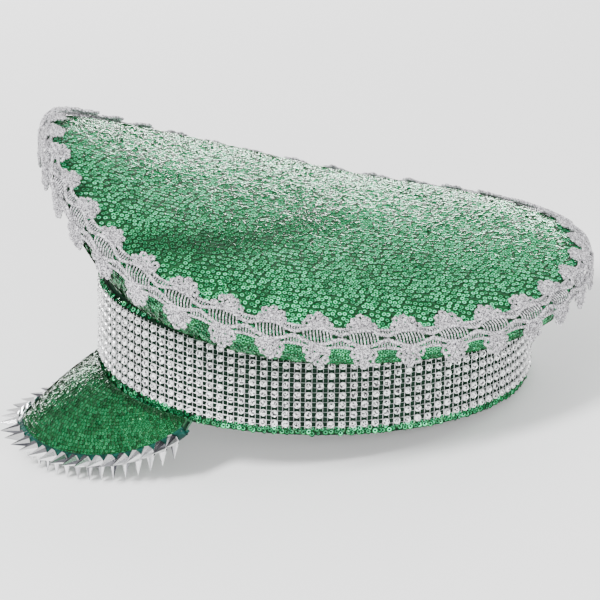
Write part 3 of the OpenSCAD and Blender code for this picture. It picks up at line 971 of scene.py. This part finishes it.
# --- Visor ---
def build_visor_cloths():
    """The visor's upper cloth with rows of sequins that follow its edge, and its lining."""
    columns, rows = 73, 14
    k = np.linspace(-VISOR_END, VISOR_END, columns)[:, None]
    share = np.linspace(0, 1, rows)[None, :]
    reach = share * (visor_width(k) - BEAD_R + 0.5)
    faces = strip_faces(columns, 2 * rows)
    outer = visor_point(k, reach, 0.5)
    inner = visor_point(k, reach, 1.2)[:, ::-1]
    top = make_mesh("visor_cloth", np.concatenate([outer, inner], axis=1), faces, BACKING)
    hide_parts("visor_top_cloth")
    wrinkle = 0.12 * np.sin(9 * k + 3 * share) * np.sin(math.pi * share)
    under_top = visor_point(k, reach, 2.9)
    under_low = visor_point(k, reach, VISOR_DEPTH) + np.expand_dims(wrinkle, -1) * [0, 0, 1]
    section = np.concatenate([under_top, under_low[:, ::-1]], axis=1)
    under = make_mesh("visor_lining", section, faces, LINING)
    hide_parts("visor_under_cloth")
    sequins = sew_visor()


def sew_visor():
    """The visor's small sequins, with painted shade on those next to the band."""
    def surface(k, down):
        return visor_point(k, np.maximum(visor_width(k) - down, 0.0), 0.15)

    rows = np.arange(BEAD_R + 1.9, VISOR_REACH, VISOR_ROW_GAP)
    places = row_places(surface, rows, VISOR_PITCH, -VISOR_END, VISOR_END)
    k, down = places[:, 0], places[:, 1]
    clear_of_band = visor_width(k) - down > 0.8
    k = k[clear_of_band]
    down = down[clear_of_band] + 0.2 * RNG.standard_normal(len(k))
    p, normal, run = surface_frames(surface, k, down, 0.01, 0.3)
    normal = np.where((normal[:, 2] < 0)[:, None], -normal, normal)
    # Painted shade, darkest on the sequins next to the band
    painted_crease_shade = np.clip((visor_width(k) - down - 1.5) / 3, 0.12, 1)
    return sequin_piece("visor_sequins", p, normal, run, VISOR_SEQUIN_R, SEQUIN_SMALL, 6.0, 3.0, painted_crease_shade)


def build_visor_braid():
    """The round braid on the visor's edge, with a thin cord above and below its inner side."""
    edge = Batch()
    stations = 240
    k = np.linspace(-BINDING_END, BINDING_END, stations)
    uneven = 0.06 * np.sin(np.arange(stations) * 1.9)
    tube(edge, bead_centre(k), BEAD_R - 0.3 + uneven, visor_up(k), 16)
    inner_line = visor_point(k, np.maximum(visor_width(k) - BEAD_R - 1.0, 0.0), 0.0)
    for drop in (0.1, VISOR_DEPTH - 0.1):
        tube(edge, inner_line - drop * visor_up(k), 0.7, visor_up(k), 8)
    binding = edge.make("visor_braid", BRAID)
    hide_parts("visor_binding")


def spike_stations():
    """Stations of the spikes, evenly spaced along the braid from its middle."""
    k = np.linspace(-BINDING_END, BINDING_END, 689)
    length = running_length(bead_centre(k))
    half_count = int((length[-1] - 2 * SPIKE_BASE_R) / 2 / SPIKE_PITCH)
    marks = length[-1] / 2 + SPIKE_PITCH * np.arange(-half_count, half_count + 1)
    return np.interp(marks, length, k)


UPPER_BASE_R, LOWER_BASE_R = SPIKE_BASE_R + 0.2, SPIKE_BASE_R - 0.7
SPIKE_FACETS = 8
# Section of a spike from its foot to its tip: shares of the base radius and of the length
SPIKE_PROFILE = ((0.5, 0.0), (1.0, 0.02), (1.0, 0.05), (0.9, 0.09), (0.05, 0.985), (0.0, 1.0))


def build_spikes(name, node, down, base_r, length):
    """A row of faceted cone spikes, each on a thin round foot and with a painted reflection for each facet.
    """
    k = spike_stations()
    n = np.tile([0.0, 0.0, -1.0], (len(k), 1)) if down else spike_heading(k)
    base = bead_centre(k) + SPIKE_SEAT * n
    run = unit(bead_run(k))
    u = square_to(run, n)
    v = np.cross(n, u)
    edges = np.linspace(0, 2 * math.pi, SPIKE_FACETS + 1) + 0.2
    shape = [point for sides in zip(edges[:-1], edges[1:])
             for point in lathe(SPIKE_PROFILE, sides, base_r, length)]
    facet_points = 2 * len(SPIKE_PROFILE)
    faces = np.concatenate([grid_faces(len(SPIKE_PROFILE), 2, start=facet_points * i, flip=True)
                            for i in range(SPIKE_FACETS)])
    # A random painted reflection for each facet
    shade = np.repeat(RNG.random(len(k) * SPIKE_FACETS), facet_points)
    piece = make_mesh(name, many(shape, base, u, v, n), repeat_faces(faces, len(k), len(shape)),
                      CHROME, False, {"shade": shade})
    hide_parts(node)


# --- Inside ---
def build_lining():
    """Satin lining with soft folds: a top, and a pleated side that stops below the rim."""
    rings, turns = 22, 160
    a = circle(turns)
    share = np.concatenate([[0.001], np.linspace(0.06, 1.0, rings - 1)])
    fit = 1 - 7.5 / rim_r(a)
    fold = np.outer(share**2, 0.35 * np.sin(24 * a) + 0.25 * np.sin(41 * a + 1))
    upper = np.stack([crown_point(s * fit, a, 3.5) for s in share])
    lower = np.stack([crown_point(s * fit, a, 4.2 + f) for s, f in zip(share, fold)])[::-1]
    faces = ring_faces(2 * rings, turns)
    top = make_mesh("lining_top_cloth", np.concatenate([upper, lower]), faces, LINING)
    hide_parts("lining_top")
    rows, u_low, u_top = 12, 0.1, 0.94
    u = np.linspace(u_low, u_top, rows)[:, None]
    pleat = 0.3 * np.sin(60 * a)[None, :] * np.sin(math.pi * (u - u_low) / (u_top - u_low))
    outer = panel_point(a[None, :], u, 4.4)
    inner = panel_point(a[None, :], u, 5.2 + pleat)[::-1]
    faces = ring_faces(2 * rows, turns)
    side = make_mesh("lining_side_cloth", np.concatenate([outer, inner]), faces, LINING)
    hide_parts("lining_side")


def build_sweatband():
    """Ribbon inside the band, with ribs that run round it."""
    turns, rib_gap, face = 240, 2.0, 0.15
    points, faces = ring_wall(face, SWEATBAND_THICKNESS, 1.0, SWEATBAND_TOP, turns, 14)
    band = Batch()
    band.add(points, faces)
    ring = even_oval(turns, 0)
    for z in np.arange(3.0, SWEATBAND_TOP, rib_gap):
        path = oval(ring, face, z)
        tube(band, path, 0.16, UP, 4, closed=True)
    sweat = band.make("sweatband_ribbon_strip", RIBBON)
    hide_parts("sweatband")


# --- Studio ---
FLOOR_HALF_SIZE = 12.0
# Area lights: name, place (m), power (W), width and height (m)
LIGHTS = (
    ("key", (0.8, -0.9, 1.6), 60, 0.5, 0.5),
    ("fill", (1.6, 0.5, 0.5), 36, 0.8, 0.8),
    ("backdrop", (-1.9, 0.0, 0.2), 110, 2.0, 0.4),
)
LIGHTS_AIM = Vector((0, 0, 0.06))
WORLD_STRENGTH = 0.9


def build_floor():
    """A plain pale floor."""
    material, tree, shader = new_material("studio_floor", roughness=0.9)
    noise = noise_node(tree, 3)
    tones = [(0.0, (0.93, 0.93, 0.93)), (1.0, (0.96, 0.96, 0.96))]
    tone = ramp_node(tree, noise, tones)
    tree.links.new(tone, shader.inputs["Base Color"])
    size = FLOOR_HALF_SIZE
    corners = [(-size, -size, 0), (size, -size, 0), (size, size, 0), (-size, size, 0)]
    mesh = bpy.data.meshes.new("floor")
    mesh.from_pydata(corners, [], [(0, 1, 2, 3)])
    mesh.materials.append(material)
    floor = bpy.data.objects.new("floor", mesh)
    bpy.context.scene.collection.objects.link(floor)


def build_lights():
    """A white world and soft area lights, which the camera doesn't see."""
    world = bpy.data.worlds.new("studio")
    world.use_nodes = True
    background = world.node_tree.nodes["Background"]
    background.inputs["Color"].default_value = (1.0, 1.0, 1.0, 1.0)
    background.inputs["Strength"].default_value = WORLD_STRENGTH
    bpy.context.scene.world = world
    for name, place, power, width, height in LIGHTS:
        light = bpy.data.lights.new(name, "AREA")
        light.shape = "RECTANGLE"
        light.energy, light.size, light.size_y = power, width, height
        lamp = bpy.data.objects.new(name, light)
        lamp.location = place
        lamp.visible_camera = False
        lamp.rotation_euler = (LIGHTS_AIM - Vector(place)).to_track_quat("-Z", "Y").to_euler()
        bpy.context.scene.collection.objects.link(lamp)


CAMERA_AZIMUTH, CAMERA_ELEVATION, CAMERA_ROLL = (math.radians(v) for v in (90.763, 21.711, -9.956))
CAMERA_TARGET = Vector((0.00146, 0.00643, 0.05497))
CAMERA_DISTANCE = 1.818
CAMERA_LENS, CAMERA_SENSOR = 221.2, 36.0


def build_camera():
    """The camera looks at the cap's left side from a little above, rolled a few degrees."""
    level_share = math.cos(CAMERA_ELEVATION)
    back = Vector((math.sin(CAMERA_AZIMUTH) * level_share, -math.cos(CAMERA_AZIMUTH) * level_share,
                   math.sin(CAMERA_ELEVATION)))
    level = Vector((math.cos(CAMERA_AZIMUTH), math.sin(CAMERA_AZIMUTH), 0.0))
    over = back.cross(level)
    right = math.cos(CAMERA_ROLL) * level + math.sin(CAMERA_ROLL) * over
    up = back.cross(right)
    data = bpy.data.cameras.new("camera")
    data.lens, data.sensor_width = CAMERA_LENS, CAMERA_SENSOR
    camera = bpy.data.objects.new("camera", data)
    axes = Matrix((right, up, back)).transposed().to_4x4()
    camera.matrix_world = Matrix.Translation(CAMERA_TARGET + CAMERA_DISTANCE * back) @ axes
    bpy.context.scene.collection.objects.link(camera)
    bpy.context.scene.camera = camera


build_camera()
build_floor()
build_lights()
build_crown()
build_quarters()
build_band()
build_net()
build_lace()
build_visor_cloths()
build_visor_braid()
build_spikes("outward_spikes", "upper_spikes", False, UPPER_BASE_R, UPPER_SPIKE)
build_spikes("downward_spikes", "lower_spikes", True, LOWER_BASE_R, LOWER_SPIKE)
build_lining()
build_sweatband()

# Looks of the pieces that keep their CAD shape. band_core and visor_board take the very dark band backing,
# partly as their own colour and partly as painted shade where their edges show.
HIDDEN_LOOKS = {
    "band_core": BACKING_DARK, "hem_tape": BRAID, "top_interlining": BOARD, "front_buckram": BOARD,
    "front_stay": BOARD, "rim_hoop": WIRE, "visor_board": BACKING_DARK,
}
for node, look in HIDDEN_LOOKS.items():
    frame["nodes"][node].data.materials.clear()
    frame["nodes"][node].data.materials.append(look)
